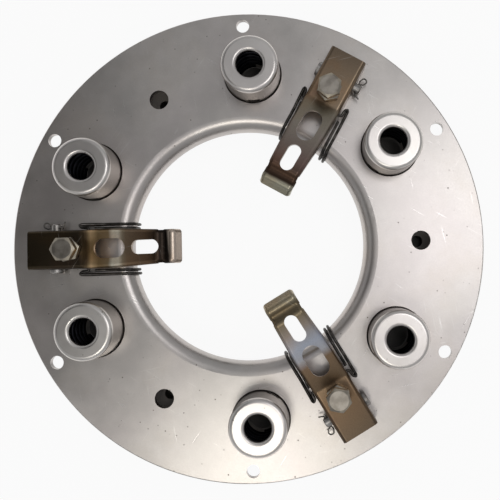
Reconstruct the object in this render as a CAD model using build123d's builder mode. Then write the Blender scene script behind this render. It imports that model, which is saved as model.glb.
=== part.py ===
from build123d import *
import math
import os

# Clutch cover assembly with three release levers and six coil springs, in millimetres.
# The Z axis is the axis of the clutch. Zero is the cover's underside, the face that bolts to the flywheel,
# and +Z points to the release bearing. Heights with "over the cover" start from the cover's upper face.

os.makedirs("parts", exist_ok=True)

# Cover pressing
bore_diameter = 157.0
bore_bend_radius = 9.5
bore_land = 8.9
cover_thickness = 4.5
cover_rim_width = 42.2
rim_rounding = 0.8
bolt_hole_diameter = 9.0
bolt_edge_distance = 8.5
bolt_count = 6
retainer_hole_diameter = 13.0
window_clearance = 1.3
cup_hole_clearance = 0.9

# Spring cups and pressure springs
spring_outer_diameter = 31.0
spring_wire = 4.4
spring_turns = 6.5
spring_length = 43.7
spring_angle_from_lever = 27.0
spring_side_clearance = 1.9
cup_height_over_cover = 26.0
cup_wall = 1.6
cup_flange_width = 4.6
cup_crown_radius = 3.0
cup_mouth_diameter = 17.0
cup_mouth_bend = 2.4
cup_window_width = 9.0
cup_window_height = 4.6
cup_window_rise = 0.9
cup_window_turns = [-130.0, -88.0, -90.0, -43.0, 63.0, 25.0]

# Pressure plate casting
plate_thickness = 13.0
plate_edge_chamfer = 1.2
plate_inner_setback = 8.5
plate_outer_margin = 3.2
inner_rib_width = 5.0
inner_rib_height = 3.0
spring_pad_height = 3.0
spring_pad_margin = 4.5
spigot_height = 4.0
spigot_clearance = 1.0
retainer_boss_diameter = 24.0
retainer_thread_diameter = 8.0
retainer_thread_depth = 12.0
casting_fillet = 1.2
casting_edge = 0.6

# Lugs on the plate, clevis pins and cotter pins
lug_boss_radius = 6.1
lug_root_spread = 3.0
lug_rim_margin = 3.7
lug_clearance = 0.4
lug_side_clearance = 0.3
pivot_height_over_cover = 6.0
pin_diameter = 6.5
pin_running_clearance = 0.05
pin_head_diameter = 10.0
pin_head_thickness = 2.4
pin_end_length = 4.6
pin_seat_clearance = 0.2
cotter_wire = 0.95
cotter_hole_clearance = 0.15

# Adjusting screws and jam nuts
screw_diameter = 9.5
screw_lug_gap = 0.95
screw_tip_diameter = 7.0
screw_tip_length = 5.0
screw_tip_clearance = 0.2
screw_hole_clearance = 0.05
hexagon_across_flats = 14.3
hexagon_crown_diameter = 12.2
jam_nut_thickness = 5.6
jam_nut_gap = 1.6
screw_head_height = 6.6
screw_turns = [20.0, 0.0, 48.0]
nut_turns = [8.0, 12.0, 35.0]

# Release levers
lever_count = 3
first_lever_angle = 60.0
lever_width = 25.5
lever_neck_width = 20.8
lever_neck_length = 5.0
lever_nose_width = 21.8
lever_thickness = 3.0
lever_edge_radius = 2.6
heel_length = 9.7
heel_foot_clearance = 0.4
arm_slope = 15.5
crease_margin = 1.0
crease_to_slot = 7.35
large_slot_length = 22.0
large_slot_width = 12.6
slot_gap = 4.7
small_slot_length = 18.4
small_slot_width = 9.0
slot_past_neck = 1.3
nose_length = 15.2

# Lever springs
spring_bar_wire = 2.0
spring_bar_from_screw = 5.15
spring_bar_height_over_cover = 7.2
spring_bar_hole_clearance = 0.3
loop_end_length = 5.9
loop_leg_spacing = 2.7
loop_side_clearance = 0.35
loop_lift = 0.3
loop_bend = 1.4
hook_reach = 2.5

# Heights and radii that follow from the sizes above
bore_radius = bore_diameter / 2
cup_radius = spring_outer_diameter / 2 + spring_side_clearance + cup_wall
spring_circle_radius = bore_radius + bore_bend_radius + bore_land + cup_hole_clearance + cup_radius
cover_radius = spring_circle_radius + cover_rim_width
bolt_circle_radius = cover_radius - bolt_edge_distance
plate_inner_radius = bore_radius + plate_inner_setback
plate_outer_radius = spring_circle_radius + spring_outer_diameter / 2 + spring_pad_margin + plate_outer_margin
pivot_radius = plate_outer_radius - lug_rim_margin - lug_root_spread - lug_boss_radius
fulcrum_radius = pivot_radius - lug_boss_radius - screw_lug_gap - screw_diameter / 2
spring_bar_radius = fulcrum_radius - screw_diameter / 2 - spring_bar_from_screw
loop_end_radius = spring_bar_radius + loop_end_length
hexagon_corner_radius = hexagon_across_flats / 2 / math.cos(math.pi / 6)
crease_place = fulcrum_radius - hexagon_corner_radius - crease_margin
large_slot_radius = crease_place - crease_to_slot - large_slot_length / 2
small_slot_radius = large_slot_radius - large_slot_length / 2 - slot_gap - small_slot_length / 2
nose_neck = small_slot_radius - small_slot_length / 2 + slot_past_neck
lever_tip_radius = nose_neck - nose_length
lever_heel_radius = pivot_radius + lug_boss_radius + heel_length
spring_top = cover_thickness + cup_height_over_cover - cup_wall
pad_top = spring_top - spring_length
plate_top = pad_top - spring_pad_height
friction_face = plate_top - plate_thickness
pivot_height = cover_thickness + pivot_height_over_cover
heel_height = pivot_height + lug_boss_radius + lug_clearance + lever_thickness
lug_half_width = lever_width / 2 - lever_thickness - lug_side_clearance
lever_angles = [first_lever_angle + 360 / lever_count * n for n in range(lever_count)]
spring_angles = [angle + side * spring_angle_from_lever for angle in lever_angles for side in (-1, 1)]


def arm_line(radius):
    """Height of the upper face of the lever's arm at a radius."""
    return heel_height + (crease_place - radius) * math.tan(math.radians(arm_slope))


def save(part, name, place=Location()):
    """Writes one finished piece, moved to its place on the clutch."""
    piece = part.moved(place)
    piece.label = name
    export_step(piece, f"parts/{name}.step")


def lever_place(angle):
    """Turns a piece made along +X to a lever's angle."""
    return Location((0, 0, 0), (0, 0, angle))


# Cover: a flat ring pressed from sheet, its bore turned down to a smooth lip
with BuildPart() as cover:
    with BuildSketch(Plane.XZ):
        with BuildLine():
            bend_centre = bore_radius + bore_bend_radius
            bend_base = cover_thickness - bore_bend_radius
            Line((bend_centre, cover_thickness), (cover_radius, cover_thickness))
            Line((cover_radius, cover_thickness), (cover_radius, 0))
            Line((cover_radius, 0), (bend_centre, 0))
            RadiusArc((bend_centre, 0), (bore_radius + cover_thickness, bend_base),
                      bore_bend_radius - cover_thickness)
            Line((bore_radius + cover_thickness, bend_base), (bore_radius, bend_base))
            RadiusArc((bore_radius, bend_base), (bend_centre, cover_thickness), bore_bend_radius)
        make_face()
    revolve(axis=Axis.Z)
    rim = cover.edges().filter_by(GeomType.CIRCLE).filter_by(lambda e: abs(e.radius - cover_radius) < 0.01)
    fillet(rim, rim_rounding)
    with BuildSketch(Plane.XY):
        with PolarLocations(bolt_circle_radius, bolt_count, start_angle=first_lever_angle / 2):
            Circle(bolt_hole_diameter / 2)
        with PolarLocations(spring_circle_radius, lever_count, start_angle=first_lever_angle - 180 / lever_count):
            Circle(retainer_hole_diameter / 2)
        for side in (-1, 1):
            with PolarLocations(spring_circle_radius, lever_count,
                                start_angle=first_lever_angle + side * spring_angle_from_lever):
                Circle(cup_radius + cup_hole_clearance)
        with PolarLocations(pivot_radius, lever_count, start_angle=first_lever_angle):
            RectangleRounded(2 * (lug_boss_radius + window_clearance), 2 * (lug_half_width + window_clearance), 2)
    extrude(amount=cover_thickness, mode=Mode.SUBTRACT)
save(cover.part, "cover")


# Pressure plate: a cast ring with a ground face below, and pads, bosses and lugs above
with BuildPart() as plate:
    with BuildSketch(Plane.XZ):
        with BuildLine():
            inner = plate_inner_radius
            outer = plate_outer_radius
            Polyline((inner, friction_face + plate_edge_chamfer), (inner + plate_edge_chamfer, friction_face),
                     (outer - plate_edge_chamfer, friction_face), (outer, friction_face + plate_edge_chamfer),
                     (outer, plate_top - plate_edge_chamfer), (outer - plate_edge_chamfer, plate_top),
                     (inner + inner_rib_width + inner_rib_height / 2, plate_top),
                     (inner + inner_rib_width, plate_top + inner_rib_height),
                     (inner, plate_top + inner_rib_height), close=True)
        make_face()
    revolve(axis=Axis.Z)
    with BuildSketch(Plane.XY.offset(plate_top)):
        for angle in spring_angles:
            with PolarLocations(spring_circle_radius, 1, start_angle=angle):
                Circle(spring_outer_diameter / 2 + spring_pad_margin)
    extrude(amount=spring_pad_height)
    with BuildSketch(Plane.XY.offset(plate_top)):
        with PolarLocations(spring_circle_radius, lever_count, start_angle=first_lever_angle - 180 / lever_count):
            Circle(retainer_boss_diameter / 2)
    extrude(amount=spring_pad_height)
    raised = plate.edges().filter_by(GeomType.CIRCLE)
    fillet(raised.filter_by(lambda e: abs(e.arc_center.Z - plate_top) < 0.01 and e.radius < 2 * cup_radius),
           casting_fillet)
    with BuildSketch(Plane.XY.offset(pad_top)):
        for angle in spring_angles:
            with PolarLocations(spring_circle_radius, 1, start_angle=angle):
                Circle(spring_outer_diameter / 2 - spring_wire - spigot_clearance)
    extrude(amount=spigot_height, taper=5)
    tops = plate.faces().filter_by(Plane.XY)
    fillet(tops.filter_by(lambda f: f.center().Z > pad_top + 0.01).edges(), casting_edge)
    with BuildSketch(Plane.XY.offset(pad_top)):
        with PolarLocations(spring_circle_radius, lever_count, start_angle=first_lever_angle - 180 / lever_count):
            Circle(retainer_thread_diameter / 2)
    extrude(amount=-retainer_thread_depth, mode=Mode.SUBTRACT)


# One lug: a tapered post with a round end about the clevis pin, cast on the plate
with BuildPart() as lug:
    with BuildSketch(Plane.XZ):
        with BuildLine():
            low = plate_top - casting_fillet
            waist = -spring_pad_height
            Polyline((pivot_radius - lug_boss_radius, pivot_height), (pivot_radius - lug_boss_radius, waist),
                     (pivot_radius - lug_boss_radius - lug_root_spread, low),
                     (pivot_radius + lug_boss_radius + lug_root_spread, low),
                     (pivot_radius + lug_boss_radius, waist), (pivot_radius + lug_boss_radius, pivot_height))
            ThreePointArc((pivot_radius + lug_boss_radius, pivot_height),
                          (pivot_radius, pivot_height + lug_boss_radius),
                          (pivot_radius - lug_boss_radius, pivot_height))
        make_face()
    extrude(amount=lug_half_width, both=True)
    with BuildSketch(Plane.XZ):
        with Locations((pivot_radius, pivot_height)):
            Circle(pin_diameter / 2 + pin_running_clearance)
    extrude(amount=lever_width, both=True, mode=Mode.SUBTRACT)

with BuildPart() as pressure_plate:
    add(plate.part)
    for angle in lever_angles:
        add(lug.part.moved(lever_place(angle)))
    feet = pressure_plate.edges().filter_by(Plane.XY).filter_by(GeomType.LINE)
    fillet(feet.filter_by(lambda e: abs(e.center().Z - plate_top) < 0.01), casting_fillet)
save(pressure_plate.part, "pressure_plate")


# Spring cup: drawn from sheet, with a flange under the cover and a mouth turned down in its crown
with BuildPart() as cup:
    with BuildSketch(Plane.XZ):
        with BuildLine():
            crown = cover_thickness + cup_height_over_cover
            inside = cup_radius - cup_wall
            mouth = cup_mouth_diameter / 2
            foot = cup_hole_clearance - 0.1
            Polyline((inside, crown - cup_crown_radius), (inside, -cup_wall),
                     (cup_radius + cup_flange_width, -cup_wall), (cup_radius + cup_flange_width, 0),
                     (cup_radius + foot, 0))
            RadiusArc((cup_radius + foot, 0), (cup_radius, foot), foot)
            Line((cup_radius, foot), (cup_radius, crown - cup_crown_radius))
            RadiusArc((cup_radius, crown - cup_crown_radius), (cup_radius - cup_crown_radius, crown),
                      -cup_crown_radius)
            Line((cup_radius - cup_crown_radius, crown), (mouth + cup_mouth_bend, crown))
            RadiusArc((mouth + cup_mouth_bend, crown), (mouth, crown - cup_mouth_bend), -cup_mouth_bend)
            Line((mouth, crown - cup_mouth_bend), (mouth + cup_wall, crown - cup_mouth_bend))
            RadiusArc((mouth + cup_wall, crown - cup_mouth_bend), (mouth + cup_mouth_bend, crown - cup_wall),
                      cup_mouth_bend - cup_wall)
            Line((mouth + cup_mouth_bend, crown - cup_wall), (cup_radius - cup_crown_radius, crown - cup_wall))
            RadiusArc((cup_radius - cup_crown_radius, crown - cup_wall), (inside, crown - cup_crown_radius),
                      cup_crown_radius - cup_wall)
        make_face()
    revolve(axis=Axis.Z)
    with BuildSketch(Plane.YZ):
        with Locations((0, cover_thickness + cup_window_rise + cup_window_height / 2)):
            SlotOverall(cup_window_width, cup_window_height)
    extrude(amount=2 * cup_radius, both=True, mode=Mode.SUBTRACT)


# Pressure spring: a coil of round wire with both ends ground flat
with BuildPart() as pressure_spring:
    coil_radius = (spring_outer_diameter - spring_wire) / 2
    with BuildLine() as coil:
        Helix(pitch=spring_length / spring_turns, height=spring_length, radius=coil_radius, center=(0, 0, pad_top))
    with BuildSketch(Plane(origin=coil.line @ 0, z_dir=coil.line % 0)):
        Circle(spring_wire / 2)
    sweep(is_frenet=True)
    with BuildSketch(Plane.XY.offset(pad_top)):
        Circle(spring_outer_diameter)
    extrude(amount=spring_length, mode=Mode.INTERSECT)

for number, angle in enumerate(spring_angles):
    spot = Vector(spring_circle_radius, 0, 0).rotate(Axis.Z, angle)
    save(cup.part, f"spring_cup_{number + 1}", Location(spot, (0, 0, cup_window_turns[number])))
    save(pressure_spring.part, f"pressure_spring_{number + 1}", Location(spot, (0, 0, angle)))


# Release lever: a pressed channel, flanges down, that thins to a rolled nose
neck_height = arm_line(nose_neck)
web_points = [(lever_heel_radius, heel_height), (crease_place, heel_height), (nose_neck, neck_height),
              (lever_tip_radius + 10.2, neck_height - 2.6), (lever_tip_radius + 4.8, neck_height + 0.6),
              (lever_tip_radius, neck_height - 6.0)]
nose_onward = tuple(2 * Vector(*web_points[-1]) - Vector(*web_points[-2]))
web_bends = [6.0, 5.0, 4.5, 3.8]
foot_height = cover_thickness + heel_foot_clearance
under_web = lever_thickness / 2
tall = heel_height + lever_width


def web_height(radius):
    """Height of the upper face of the lever's web at a radius."""
    return max(heel_height, arm_line(radius))


def under_corner(before, corner, after):
    """The point on the web's lower line that faces a corner of its upper line."""
    arriving = (Vector(*corner) - Vector(*before)).normalized().rotate(Axis.Z, 90)
    leaving = (Vector(*after) - Vector(*corner)).normalized().rotate(Axis.Z, 90)
    downward = (arriving + leaving).normalized()
    return Vector(*corner) + downward * (lever_thickness / arriving.dot(downward))


def web_strip():
    """The strip of sheet that makes the lever's web, seen from the side."""
    under_points = [under_corner(*web_points[n - 1:n + 2]) for n in range(1, len(web_points) - 1)]
    under_bends = [bend + way * lever_thickness for bend, way in zip(web_bends, (1, -1, 1, -1))]
    with BuildSketch(Plane.XZ) as strip:
        with BuildLine():
            FilletPolyline(*web_points, under_corner(*web_points[-2:], nose_onward), *reversed(under_points),
                           (lever_heel_radius, heel_height - lever_thickness), close=True,
                           radius=[0, *web_bends, 0, 0, *reversed(under_bends), 0])
        make_face()
    return strip.sketch


def plan_outline(inset):
    """The lever from above, widest at the heel, drawn in by the thickness of its flanges."""
    wide = lever_width / 2 - inset
    nose = lever_nose_width / 2 - inset
    heel_end = lever_heel_radius + 5
    tip_end = lever_tip_radius - 5
    with BuildSketch(Plane.XY) as outline:
        with BuildLine():
            FilletPolyline((heel_end, wide), (large_slot_radius - 2, wide), (nose_neck - 1, nose), (tip_end, nose),
                           radius=[60, 20])
            Line((tip_end, nose), (tip_end, 0))
            Line((heel_end, wide), (heel_end, 0))
            mirror(about=Plane.XZ)
        make_face()
    return outline.sketch


with BuildPart() as blank:
    with BuildSketch(Plane.XZ):
        with BuildLine():
            FilletPolyline((lever_heel_radius, heel_height - under_web), (lever_heel_radius, foot_height),
                           (fulcrum_radius + 4.5, foot_height + 0.3), (fulcrum_radius - 13.5, foot_height + 4.0),
                           (nose_neck - 2, neck_height - lever_thickness - 0.4), (nose_neck, neck_height - under_web),
                           (crease_place, heel_height - under_web), radius=[0, 2.5, 10, 12, 0, 0, 0], close=True)
        make_face()
    extrude(amount=lever_width, both=True)
    extrude(web_strip(), amount=lever_width, both=True)
    extrude(plan_outline(0), amount=tall, dir=(0, 0, 1), mode=Mode.INTERSECT)

with BuildPart() as hollow:
    extrude(plan_outline(lever_thickness), amount=tall, dir=(0, 0, 1))
    with BuildSketch(Plane.XZ):
        with BuildLine():
            Polyline((lever_heel_radius + 2, heel_height - under_web), (crease_place, heel_height - under_web),
                     (nose_neck, neck_height - under_web), (nose_neck - 3, cover_thickness),
                     (nose_neck - 3, 0), (lever_heel_radius + 2, 0), close=True)
        make_face()
    extrude(amount=lever_width, both=True, mode=Mode.INTERSECT)
    extrude(web_strip(), amount=lever_width, both=True, mode=Mode.SUBTRACT)

with BuildPart() as lever:
    add(blank.part)
    side_edges = lever.edges().filter_by(lambda e: abs(e.center().Y) > lever_nose_width / 2 - 0.1)
    long_edges = side_edges.filter_by(lambda e: abs(e.center().Z - web_height(e.center().X)) < 0.6)
    fillet(long_edges, lever_edge_radius)
    add(hollow.part, mode=Mode.SUBTRACT)
    with BuildSketch(Plane.XY.offset(pivot_height)):
        with Locations((large_slot_radius, 0)):
            SlotOverall(large_slot_length, large_slot_width)
        with Locations((small_slot_radius, 0)):
            SlotOverall(small_slot_length, small_slot_width)
        with Locations((fulcrum_radius, 0)):
            Circle(screw_diameter / 2 + screw_hole_clearance)
        for side in (-1, 1):
            with Locations((nose_neck - lever_neck_length / 2, side * (lever_neck_width / 2 + lever_thickness))):
                RectangleRounded(lever_neck_length, 2 * lever_thickness, 1.5)
    extrude(amount=tall, mode=Mode.SUBTRACT)
    with BuildSketch(Plane.XZ):
        with Locations((pivot_radius, pivot_height)):
            Circle(pin_diameter / 2 + 2 * pin_running_clearance)
        with Locations((spring_bar_radius, cover_thickness + spring_bar_height_over_cover)):
            Circle(spring_bar_wire / 2 + spring_bar_hole_clearance)
    extrude(amount=lever_width, both=True, mode=Mode.SUBTRACT)


# Adjusting screw: a hexagon head, a threaded shank and a turned-down tip with a round end
tip_height = cover_thickness + screw_tip_clearance
head_base = heel_height + jam_nut_thickness + jam_nut_gap


def hexagon_bar(base, height, turn):
    """A hexagon bar on the screw's axis, its corners turned off to a cone at both ends."""
    crown = hexagon_crown_diameter / 2
    cone = (hexagon_corner_radius - crown) * math.tan(math.radians(30))
    with BuildPart() as bar:
        with BuildSketch(Plane.XY.offset(base)):
            RegularPolygon(hexagon_across_flats / 2, 6, major_radius=False, rotation=turn)
        extrude(amount=height)
        with BuildSketch(Plane.XZ):
            with BuildLine():
                Polyline((0, base), (crown, base), (hexagon_corner_radius, base + cone),
                         (hexagon_corner_radius, base + height - cone), (crown, base + height),
                         (0, base + height), close=True)
            make_face()
        revolve(axis=Axis.Z, mode=Mode.INTERSECT)
    return bar.part


with BuildPart() as shank:
    with BuildSketch(Plane.XZ):
        with BuildLine():
            neck = screw_tip_diameter / 2
            wide = screw_diameter / 2
            RadiusArc((0, tip_height), (neck, tip_height + neck), -neck)
            Polyline((neck, tip_height + neck), (neck, tip_height + screw_tip_length - (wide - neck)),
                     (wide, tip_height + screw_tip_length), (wide, head_base), (0, head_base), (0, tip_height))
        make_face()
    revolve(axis=Axis.Z)

for number, angle in enumerate(lever_angles):
    with BuildPart() as adjusting_screw:
        add(shank.part)
        add(hexagon_bar(head_base, screw_head_height, screw_turns[number]))
    with BuildPart() as jam_nut:
        add(hexagon_bar(heel_height, jam_nut_thickness, nut_turns[number]))
        with BuildSketch(Plane.XY.offset(heel_height)):
            Circle(screw_diameter / 2 + screw_hole_clearance)
        extrude(amount=jam_nut_thickness, mode=Mode.SUBTRACT)
    on_lever = lever_place(angle) * Location((fulcrum_radius, 0, 0))
    save(lever.part, f"release_lever_{number + 1}", lever_place(angle))
    save(adjusting_screw.part, f"adjusting_screw_{number + 1}", on_lever)
    save(jam_nut.part, f"jam_nut_{number + 1}", on_lever)


# Clevis pin: headed on one side, cross-drilled on the other for the cotter pin
pin_end = lever_width / 2 + pin_end_length
cotter_place = lever_width / 2 + pin_end_length / 2 + 0.1
cotter_hole_radius = cotter_wire + cotter_hole_clearance

with BuildPart() as clevis_pin:
    with BuildSketch(Plane.XZ.offset(-lever_width / 2 - pin_seat_clearance)):
        with Locations((pivot_radius, pivot_height)):
            Circle(pin_head_diameter / 2)
    extrude(amount=-pin_head_thickness)
    chamfer(clevis_pin.edges().sort_by(Axis.Y)[-1], 0.5)
    with BuildSketch(Plane.XZ.offset(-lever_width / 2 - pin_seat_clearance)):
        with Locations((pivot_radius, pivot_height)):
            Circle(pin_diameter / 2)
    extrude(amount=lever_width / 2 + pin_seat_clearance + pin_end)
    chamfer(clevis_pin.edges().sort_by(Axis.Y)[0], 0.7)
    with BuildSketch(Plane.YZ.offset(pivot_radius)):
        with Locations((-cotter_place, pivot_height)):
            Circle(cotter_hole_radius)
    extrude(amount=pin_diameter, both=True, mode=Mode.SUBTRACT)


def round_wire(points, bends, wire):
    """A round wire along straight runs joined by bends."""
    with BuildPart() as rod:
        with BuildLine() as path:
            FilletPolyline(*points, radius=bends)
        with BuildSketch(Plane(origin=path.line @ 0, z_dir=path.line % 0)):
            Circle(wire / 2)
        sweep()
    return rod.part


# Cotter pin: one wire doubled back to an eye, its ends bent apart round the clevis pin
half = cotter_wire / 2 + 0.02
reach = pin_diameter / 2
cotter_points = [(-reach - 1.6, half, 4.4), (-reach - 1.1, half, 0), (reach + 0.6, half, 0),
                 (reach + 2.6, 0.8, 0), (reach + 5.8, -0.7, 0), (reach + 4.3, -3.9, 0), (reach + 1.1, -2.4, 0),
                 (reach + 0.6, -half, 0), (-reach - 1.1, -half, 0), (-reach - 2.2, -half - 3.4, -1.0)]
cotter_bends = [0.9, 0.8, 1.6, 1.6, 1.6, 1.2, 0.6, 0.9]
cotter = round_wire([Vector(*p) + Vector(pivot_radius, -cotter_place, pivot_height) for p in cotter_points],
                    cotter_bends, cotter_wire)


# Lever spring: one wire through both flanges, looped along each side and hooked under the bore's lip
bar_height = cover_thickness + spring_bar_height_over_cover
near_leg = lever_width / 2 + loop_side_clearance + spring_bar_wire / 2
far_leg = near_leg + loop_leg_spacing
leg_height = cover_thickness + loop_lift + spring_bar_wire / 2
hook_height = cover_thickness - bore_bend_radius - loop_lift - spring_bar_wire / 2
over_lip = bore_bend_radius + loop_lift + spring_bar_wire / 2
leg_foot = (bore_radius + bore_bend_radius + spring_bar_radius) / 2


def beside_lip(offset, gap):
    """The distance out along a lever, at an offset from its middle, that lies a gap outside the bore."""
    return math.sqrt((bore_radius + gap) ** 2 - offset ** 2)


def loop_points(side):
    """Half of the lever spring, from the middle of its bar to the free end beside the lever."""
    near_lip = beside_lip(near_leg, -loop_lift - spring_bar_wire / 2)
    far_lip = beside_lip(far_leg, -loop_lift - spring_bar_wire / 2)
    hook_end = beside_lip(far_leg, hook_reach)
    return [(spring_bar_radius, 0, bar_height), (spring_bar_radius, side * (near_leg + 0.4), bar_height),
            (loop_end_radius, side * (near_leg + 0.8), bar_height - 0.4),
            (loop_end_radius, side * far_leg, bar_height - 1.2), (leg_foot, side * far_leg, leg_height),
            (far_lip, side * far_leg, leg_height), (far_lip, side * far_leg, hook_height),
            (hook_end, side * far_leg, hook_height), (hook_end, side * near_leg, hook_height),
            (near_lip, side * near_leg, hook_height), (near_lip, side * near_leg, leg_height),
            (leg_foot, side * near_leg, leg_height), (spring_bar_radius - 3.0, side * near_leg, bar_height - 3.2)]


loop_bends = [loop_bend, 2.2, 1.3, 10, over_lip, 1.25, 1.3, 1.3, 1.25, over_lip, 10]
with BuildPart() as lever_spring:
    for side in (-1, 1):
        add(round_wire(loop_points(side), loop_bends, spring_bar_wire))

for number, angle in enumerate(lever_angles):
    save(clevis_pin.part, f"clevis_pin_{number + 1}", lever_place(angle))
    save(cotter, f"cotter_pin_{number + 1}", lever_place(angle))
    save(lever_spring.part, f"lever_spring_{number + 1}", lever_place(angle))
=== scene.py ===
import math

import bpy
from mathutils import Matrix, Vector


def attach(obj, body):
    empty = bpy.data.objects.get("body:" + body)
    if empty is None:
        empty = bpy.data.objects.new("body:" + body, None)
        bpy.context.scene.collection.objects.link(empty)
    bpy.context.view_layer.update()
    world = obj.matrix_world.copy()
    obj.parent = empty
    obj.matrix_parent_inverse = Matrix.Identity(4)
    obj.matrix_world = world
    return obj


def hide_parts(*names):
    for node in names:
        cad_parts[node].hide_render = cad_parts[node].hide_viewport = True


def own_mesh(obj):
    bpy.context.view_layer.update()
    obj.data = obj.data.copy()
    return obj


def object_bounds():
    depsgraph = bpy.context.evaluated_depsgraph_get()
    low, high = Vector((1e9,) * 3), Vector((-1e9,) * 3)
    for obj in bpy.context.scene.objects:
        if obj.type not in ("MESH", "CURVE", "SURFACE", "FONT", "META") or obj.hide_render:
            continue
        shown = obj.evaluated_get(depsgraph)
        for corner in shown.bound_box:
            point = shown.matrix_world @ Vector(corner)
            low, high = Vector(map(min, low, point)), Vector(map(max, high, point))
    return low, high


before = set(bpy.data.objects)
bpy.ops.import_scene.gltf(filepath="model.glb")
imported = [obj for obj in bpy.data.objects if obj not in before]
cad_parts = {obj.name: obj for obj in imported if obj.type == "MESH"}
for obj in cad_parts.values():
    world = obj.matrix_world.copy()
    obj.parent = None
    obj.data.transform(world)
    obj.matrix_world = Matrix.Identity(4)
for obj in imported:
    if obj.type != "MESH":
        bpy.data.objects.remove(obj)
cad_box = [list(corner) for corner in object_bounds()]


# Cover. One round steel pressing with a turned-down bore, bolted to the flywheel by its rim. The sheet is
# bare: satin from rolling, wiped with oil, with fine handling scratches, small dark specks and rubbed edges.
class Link:
    """A value in a metal's nodes. Sums, differences and products of links add the Math nodes for them."""

    def __init__(self, metal, socket):
        self.metal = metal
        self.socket = socket

    def math(self, operation, *values):
        return self.metal.node("ShaderNodeMath", {"operation": operation}, *values)

    def __add__(self, other):
        return self.math("ADD", self, other)

    def __sub__(self, other):
        return self.math("SUBTRACT", self, other)

    def __rsub__(self, other):
        return self.math("SUBTRACT", other, self)

    def __mul__(self, other):
        return self.math("MULTIPLY", self, other)

    __radd__ = __add__
    __rmul__ = __mul__

    def above(self, low, high):
        """Zero below low, one above high, and smooth between them."""
        return self.metal.node("ShaderNodeMapRange", {"interpolation_type": "SMOOTHSTEP"}, self, low, high)


class Metal:
    """A metal's material, built node by node from where a point lies on the clutch, in metres."""

    def __init__(self, name):
        self.material = bpy.data.materials.new(name)
        self.material.use_nodes = True
        self.nodes = self.material.node_tree.nodes
        self.shader = self.nodes["Principled BSDF"]
        self.place = self.node("ShaderNodeTexCoord", {}, out="Object")

    def node(self, kind, settings, *inputs, out=0, **named):
        made = self.nodes.new(kind)
        for name, value in settings.items():
            if name == "stops":
                while len(made.color_ramp.elements) < len(value):
                    made.color_ramp.elements.new(0.5)
                for element, (spot, colour) in zip(made.color_ramp.elements, value):
                    element.position = spot
                    element.color = (*colour, 1)
            else:
                setattr(made, name, value)
        for key, value in [*enumerate(inputs), *named.items()]:
            self.set(made.inputs[key.replace("_", " ") if isinstance(key, str) else key], value)
        return Link(self, made.outputs[out])

    def set(self, socket, value):
        if isinstance(value, Link):
            self.material.node_tree.links.new(value.socket, socket)
        else:
            socket.default_value = value

    def noise(self, scale, detail=3, roughness=0.5, place=None):
        return self.node("ShaderNodeTexNoise", {}, Vector=place or self.place, Scale=scale, Detail=detail,
                         Roughness=roughness)

    def stretched(self, cell, length, turn):
        """The place turned and stretched, so that noise there makes lines of that width and length."""
        return self.node("ShaderNodeMapping", {"vector_type": "TEXTURE"}, self.place,
                         Rotation=(0, 0, math.radians(turn)), Scale=(length, cell, length))

    def mix(self, factor, first, second, way="MIX"):
        """One colour blended into another."""
        made = self.nodes.new("ShaderNodeMix")
        made.data_type = "RGBA"
        made.blend_type = way
        for key, value in ((0, factor), (6, first), (7, second)):
            if isinstance(value, tuple):
                value = (*value, 1)
            self.set(made.inputs[key], value)
        return Link(self, made.outputs[2])

    def scratches(self, amount):
        """Fine straight scratches in several directions, each only here and there."""
        total = None
        for turn in (12, 55, 101, 148):
            lines = self.noise(1.0, 1, 0.5, self.stretched(0.0011, 0.030, turn))
            here = self.noise(34 + turn * 0.3, 1).above(0.53, 0.66)
            cut = lines.above(0.70 - amount, 0.76 - amount) * here
            total = cut if total is None else total.math("MAXIMUM", total, cut)
        return total

    def specks(self, scale, size):
        """Small round dark spots, left by rust and dirt."""
        near = self.node("ShaderNodeTexVoronoi", {}, Vector=self.place, Scale=scale, Randomness=1.0)
        spread = self.noise(scale * 0.6, 1).above(0.55, 0.7)
        return (1 - near.above(size * 0.5, size)) * spread

    def finish(self, colour, roughness, bump=None, height=0.00005, metallic=1.0):
        self.set(self.shader.inputs["Base Color"], colour)
        self.set(self.shader.inputs["Roughness"], roughness)
        self.set(self.shader.inputs["Metallic"], metallic)
        if bump is not None:
            normal = self.node("ShaderNodeBump", {}, Height=bump, Distance=height, Strength=1.0)
            self.set(self.shader.inputs["Normal"], normal)
        return self.material


def bare_steel(name, colour, rough, grit, coarse, shade_below=-1.0):
    """Bare sheet steel: cloudy, finely scratched and specked, and painted darker below a height as painted shade."""
    metal = Metal(name)
    clouds = metal.noise(22, 4, 0.6)
    grain = metal.noise(900, 2)
    lines = metal.scratches(0.02)
    spots = metal.specks(260, 0.16)
    height = metal.node("ShaderNodeSeparateXYZ", {}, metal.place, out=2)
    painted_shade = 1 - height.above(shade_below, shade_below + 0.002)
    light = tuple(min(1, c * 1.10) for c in colour)
    dark = tuple(c * 0.88 for c in colour)
    tone = metal.mix(clouds.above(0.3, 0.7), dark, light)
    tone = metal.mix(metal.noise(13, 2).above(0.35, 0.65) * 0.08, tone, (0.62, 0.46, 0.52))
    tone = metal.mix(metal.noise(21, 5, 0.6).above(0.45, 0.70) * 0.16, tone, (0.44, 0.36, 0.26))
    tone = metal.mix(grain.above(0.35, 0.65) * 0.10 * coarse, tone, tuple(c * 0.7 for c in colour))
    tone = metal.mix(lines * 0.30, tone, (0.80, 0.78, 0.75))
    # Painted shade: the colour darkens below the given height, on the cups' walls and in their turned-down mouths.
    tone = metal.mix(painted_shade * 0.75, tone, (0.165, 0.14, 0.12))
    tone = metal.mix(spots * 0.75, tone, (0.10, 0.075, 0.055))
    gloss = rough + (clouds - 0.5) * 0.12 + grain * 0.05 * coarse + spots * 0.3 - lines * 0.05
    relief = grain * 0.35 - lines * 0.5
    return metal.finish(tone, gloss, relief, grit)


def dress(node, material):
    """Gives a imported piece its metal."""
    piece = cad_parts[node]
    piece.data.materials.clear()
    piece.data.materials.append(material)


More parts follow.
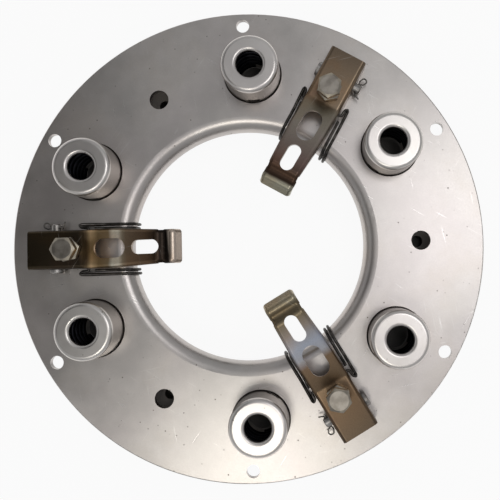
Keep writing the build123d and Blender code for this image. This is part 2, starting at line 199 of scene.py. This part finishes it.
dress("cover", bare_steel("cover_steel", (0.58, 0.545, 0.515), 0.30, 0.000012, 1.0))


# Spring cups. Six caps drawn from thinner sheet, each with a flange caught under the cover and a mouth turned
# down in its crown. Drawing leaves them smoother and brighter than the cover.
# Below the crown's foot the cups carry painted shade, on their walls and in their mouths.
crown_foot = 0.0262
cup_steel = bare_steel("cup_steel", (0.73, 0.695, 0.655), 0.30, 0.0000015, 0.3, crown_foot)
for number in range(1, 7):
    dress(f"spring_cup_{number}", cup_steel)


# Pressure springs. Six coils of round spring wire under the cups, which press the plate towards the
# flywheel and shorten as it lifts. The wire is painted near black, as painted shade for the inside of the cups.
def squeezed(node, material):
    """A copy of a packed spring with its own mesh, attached to the cover in place of the packed one."""
    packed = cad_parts[node]
    piece = bpy.data.objects.new(node + "_wire", packed.data.copy())
    bpy.context.scene.collection.objects.link(piece)
    piece.data.materials.clear()
    piece.data.materials.append(material)
    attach(piece, "cover")
    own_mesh(piece)
    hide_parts(node)


# Near-black wire: painted shade for the inside of the cups, with a faint mottle.
wire = Metal("shade_dark_coil_wire")
coat = wire.noise(160, 3)
shade_dark_coil_wire = wire.finish(wire.mix(coat.above(0.35, 0.7), (0.010, 0.010, 0.012), (0.026, 0.026, 0.031)),
                        0.38 + coat * 0.16, wire.noise(700, 2), 0.00001)
for number in range(1, 7):
    squeezed(f"pressure_spring_{number}", shade_dark_coil_wire)


# Pressure plate. A ring cast in grey iron: rough and dark as cast, with a face ground flat below, where
# it meets the friction disc.
def from_axis(metal, place):
    """How far a place lies from the upright axis through the origin."""
    flat = metal.node("ShaderNodeVectorMath", {"operation": "MULTIPLY"}, place, (1, 1, 0))
    return metal.node("ShaderNodeVectorMath", {"operation": "LENGTH"}, flat, out=1)


def ripples(distance, pitch):
    """Even waves from zero to one, as a cutting tool leaves them."""
    wave = distance * pitch
    return wave.math("SINE", wave) * 0.5 + 0.5


face_height = -0.0306
iron = Metal("cast_iron")
skin = iron.noise(420, 4, 0.65)
stain = iron.noise(30, 3)
height = iron.node("ShaderNodeSeparateXYZ", {}, iron.place, out=2)
ground = 1 - height.above(face_height, face_height + 0.0004)
rings = ripples(from_axis(iron, iron.place), 9000)
cast = iron.mix(stain.above(0.35, 0.7), (0.105, 0.100, 0.095), (0.19, 0.175, 0.16))
cast = iron.mix(ground, cast, iron.mix(rings * 0.5, (0.42, 0.41, 0.40), (0.52, 0.51, 0.50)))
cast_iron = iron.finish(cast, 0.62 - ground * 0.30, skin * (1 - ground) + rings * ground * 0.1, 0.00025, 0.85)
dress("pressure_plate", cast_iron)


# Release levers. Three channels pressed from thick sheet, slotted twice, with a rolled nose that the release
# bearing rubs bright, brightened further by a painted highlight. Hardening tints them in bands of brown, gold and
# purple, old oil darkens one heel, and painted shade darkens the crease behind each nose.
nose_end = 0.038
lever_reach = 0.107


def tinted_and_painted_light_steel(name, turn, bands):
    """Hardened steel whose colour changes in bands along the lever, from its nose at 40 mm to its heel at 143 mm;
    some bands are painted shade, highlight or reflection.
    """
    metal = Metal(name)
    along = metal.node("ShaderNodeVectorMath", {"operation": "DOT_PRODUCT"}, metal.place,
                       (math.cos(math.radians(turn)), math.sin(math.radians(turn)), 0), out=1)
    heat = metal.noise(30, 3, 0.55)
    hue = metal.noise(47, 3, 0.5)
    grain = metal.noise(1100, 2)
    lines = metal.scratches(0.02)
    stops = [((place / 1000 - nose_end) / lever_reach, colour) for place, colour in bands]
    spot = (along - nose_end + (heat - 0.5) * 0.006) * (1 / lever_reach)
    tone = metal.node("ShaderNodeValToRGB", {"stops": stops}, spot)
    tone = metal.mix(heat.above(0.50, 0.70) * 0.35, tone, (1.25, 0.92, 0.62), "MULTIPLY")
    tone = metal.mix(hue.above(0.54, 0.70) * 0.40, tone, (0.90, 0.72, 0.98), "MULTIPLY")
    tone = metal.mix(lines * 0.35, tone, (0.50, 0.46, 0.40))
    tone = metal.mix(grain.above(0.4, 0.7) * 0.2, tone, (0.5, 0.5, 0.5), "MULTIPLY")
    gloss = 0.27 + (heat - 0.5) * 0.16 + grain * 0.08 + hue.above(0.5, 0.7) * 0.06
    return metal.finish(tone, gloss, grain * 0.5 - lines * 0.5, 0.000012)


# The colours of each lever by distance from the clutch's axis, in millimetres. The dark bands at 48 to 57 mm are
# painted shade in the crease behind the nose; the light bands at 41 to 46 mm are the nose's rubbed colour with a
# painted highlight.
lever_tints_and_painted_light = {
    1: [(41, (0.42, 0.40, 0.31)), (46, (0.34, 0.32, 0.25)), (48, (0.05, 0.033, 0.025)), (54, (0.085, 0.055, 0.04)),
        (62, (0.20, 0.135, 0.115)), (76, (0.27, 0.225, 0.19)), (86, (0.32, 0.28, 0.23)), (102, (0.27, 0.235, 0.18)),
        (107, (0.24, 0.18, 0.125)), (124, (0.23, 0.17, 0.115)), (142, (0.16, 0.12, 0.085))],
    # Lever 2's light cream bands at 79 to 86 mm are a painted reflection beside its large slot.
    2: [(41, (0.62, 0.52, 0.44)), (46, (0.52, 0.43, 0.35)), (48, (0.015, 0.012, 0.010)), (54, (0.03, 0.022, 0.017)),
        (62, (0.18, 0.115, 0.07)), (76, (0.28, 0.20, 0.13)), (79, (0.38, 0.32, 0.23)), (82, (0.85, 0.80, 0.66)),
        (86, (0.80, 0.74, 0.60)), (89, (0.30, 0.23, 0.14)), (96, (0.26, 0.18, 0.09)), (101, (0.66, 0.46, 0.25)),
        (104, (0.16, 0.11, 0.06)), (109, (0.055, 0.042, 0.028)), (142, (0.055, 0.042, 0.026))],
    3: [(41, (0.48, 0.43, 0.33)), (46, (0.36, 0.32, 0.23)), (49, (0.15, 0.12, 0.075)), (57, (0.25, 0.20, 0.13)),
        (65, (0.36, 0.31, 0.27)), (75, (0.49, 0.52, 0.60)), (83, (0.50, 0.50, 0.53)), (89, (0.27, 0.185, 0.115)),
        (104, (0.21, 0.145, 0.09)), (118, (0.150, 0.097, 0.058)), (142, (0.11, 0.080, 0.054))],
}
for number, bands in lever_tints_and_painted_light.items():
    dress(f"release_lever_{number}", tinted_and_painted_light_steel(f"lever_steel_{number}", 120 * number - 60, bands))


# Adjusting screws and jam nuts. Each screw stands on the cover as the lever's fulcrum and is locked by its nut.
# Their faces keep the rings of the lathe, the shank its thread, and the corners are worn bright.
fulcrum_radius = 0.1154
hexagon_rim = 0.0059
shank_radius = 0.0048
shank_low = 0.0094
shank_high = 0.0270


def turned_steel(name, turn, threaded):
    """Turned steel about a screw's axis, with tool rings on its end and a thread on its shank."""
    metal = Metal(name)
    angle = math.radians(turn)
    centre = (fulcrum_radius * math.cos(angle), fulcrum_radius * math.sin(angle), 0)
    aside = metal.node("ShaderNodeVectorMath", {"operation": "SUBTRACT"}, metal.place, centre)
    radius = from_axis(metal, aside)
    height = metal.node("ShaderNodeSeparateXYZ", {}, metal.place, out=2)
    rub = metal.noise(170, 3)
    rings = ripples(radius, 9500)
    tone = metal.mix(rub.above(0.35, 0.68), (0.24, 0.215, 0.185), (0.38, 0.345, 0.30))
    worn = radius.above(hexagon_rim, hexagon_rim + 0.0006) * (0.15 + rub.above(0.42, 0.62) * 0.45)
    tone = metal.mix(worn, tone, (0.66, 0.58, 0.44))
    tone = metal.mix(rings * 0.25, tone, (0.14, 0.125, 0.105))
    relief = rings * 0.3 + metal.noise(1200, 2) * 0.2
    if threaded:
        inside = 1 - radius.above(shank_radius, shank_radius + 0.0002)
        below = 1 - height.above(shank_high, shank_high + 0.0003)
        shank = inside * height.above(shank_low, shank_low + 0.0004) * below
        relief = relief * (1 - shank) + ripples(height, 4800) * shank * 20
    return metal.finish(tone, 0.27 + rub * 0.14, relief, 0.00002)


for number, turn in enumerate((60, 180, 300), 1):
    dress(f"adjusting_screw_{number}", turned_steel(f"screw_steel_{number}", turn, True))
    dress(f"jam_nut_{number}", turned_steel(f"nut_steel_{number}", turn, False))


# Clevis pins and cotter pins. A headed pin carries each lever on its lug, and a soft wire cotter, bent over
# by hand, keeps it there.
drawn = Metal("pin_steel")
dull = drawn.noise(200, 3)
pin_steel = drawn.finish(drawn.mix(dull.above(0.35, 0.7), (0.26, 0.24, 0.22), (0.46, 0.44, 0.42)),
                         0.30 + dull * 0.15, drawn.noise(1000, 2), 0.00001)
soft_wire = Metal("cotter_wire")
rust = soft_wire.noise(500, 3)
cotter_wire = soft_wire.finish(soft_wire.mix(rust.above(0.4, 0.7), (0.10, 0.095, 0.09), (0.26, 0.24, 0.21)),
                               0.34 + rust * 0.2, rust, 0.00002)
for number in range(1, 4):
    dress(f"clevis_pin_{number}", pin_steel)
    dress(f"cotter_pin_{number}", cotter_wire)


# Lever springs. Each is one length of spring wire through both sides of a lever, looped beside it and hooked
# under the bore's lip, which keeps the lever from rattling. The wire is dark and oily.
oiled = Metal("spring_wire")
oil = oiled.noise(220, 3)
spring_wire = oiled.finish(oiled.mix(oil.above(0.4, 0.7), (0.05, 0.046, 0.042), (0.13, 0.12, 0.11)),
                           0.26 + oil * 0.2, oil, 0.00001)
for number in range(1, 4):
    squeezed(f"lever_spring_{number}", spring_wire)


# Table. A plain white surface under the clutch, which keeps a faint shadow of it. The metal sees it as white too.
whiteness = 0.93
bpy.ops.mesh.primitive_plane_add(size=6, location=(0, 0, cad_box[0][2]))
table = bpy.context.object
table.name = "table"
paper = Metal("white_table")
seen = 0.0
for kind in ("Is Camera Ray", "Is Glossy Ray", "Is Transmission Ray"):
    ray = paper.node("ShaderNodeLightPath", {}, out=kind)
    seen = ray.math("MAXIMUM", ray, seen)
paper.set(paper.shader.inputs["Base Color"], (0.8, 0.8, 0.8, 1))
paper.set(paper.shader.inputs["Roughness"], 0.9)
paper.set(paper.shader.inputs["Specular IOR Level"], 0.0)
glow = paper.node("ShaderNodeEmission", {}, (1, 1, 1, 1), 1.0)
shown = paper.node("ShaderNodeMixShader", {}, seen * whiteness, Link(paper, paper.shader.outputs[0]), glow)
paper.set(paper.nodes["Material Output"].inputs["Surface"], shown)
table.data.materials.append(paper.material)


# Light. Two soft panels, one over the right side and one over the near side, in a dim even room. A dark board
# on the far left keeps that side of the cover darker.
def panel(name, place, aim, size, power, colour):
    """A square soft light that points at a place."""
    lamp = bpy.data.lights.new(name, "AREA")
    lamp.color = colour
    lamp.shape = "SQUARE"
    lamp.size = size
    lamp.energy = power
    stand = bpy.data.objects.new(name, lamp)
    stand.location = place
    toward = bpy.data.objects.new(name + "_aim", None)
    toward.location = aim
    for thing in (stand, toward):
        bpy.context.scene.collection.objects.link(thing)
    track = stand.constraints.new("TRACK_TO")
    track.target = toward
    track.track_axis = "TRACK_NEGATIVE_Z"
    track.up_axis = "UP_Y"


panel("right_panel", (0.43, 0.11, 1.2), (0.1, 0, 0), 0.54, 2.0, (0.98, 0.98, 1.0))
panel("near_panel", (-0.11, -0.54, 1.2), (0, -0.1, 0), 0.4, 1.8, (1.0, 0.98, 0.92))

bpy.ops.mesh.primitive_plane_add(size=1.3, location=(-0.95, 0.35, 1.1), rotation=(0, math.radians(25), 0))
board = bpy.context.object
board.name = "dark_board"
felt = Metal("board_felt")
board.data.materials.append(felt.finish((0.14, 0.13, 0.12, 1), 0.95, metallic=0.0))

world = bpy.data.worlds.new("room")
bpy.context.scene.world = world
world.use_nodes = True
room = world.node_tree.nodes["Background"]
room.inputs[0].default_value = (0.95, 0.97, 1.0, 1)
room.inputs[1].default_value = 0.42


# Camera. Less than half a metre above the clutch and a little to one side, looking almost straight down.
lens = bpy.data.cameras.new("camera")
lens.sensor_width = 36
lens.lens = 48.02
lens.shift_x = -0.12
lens.shift_y = -0.03
camera = bpy.data.objects.new("camera", lens)
camera.location = (0.04688, -0.01625, 0.45443)
camera.rotation_euler = [math.radians(a) for a in (2.7705, 0.6797, -1.6329)]
bpy.context.scene.collection.objects.link(camera)
bpy.context.scene.camera = camera
bpy.context.scene.view_settings.view_transform = "Standard"
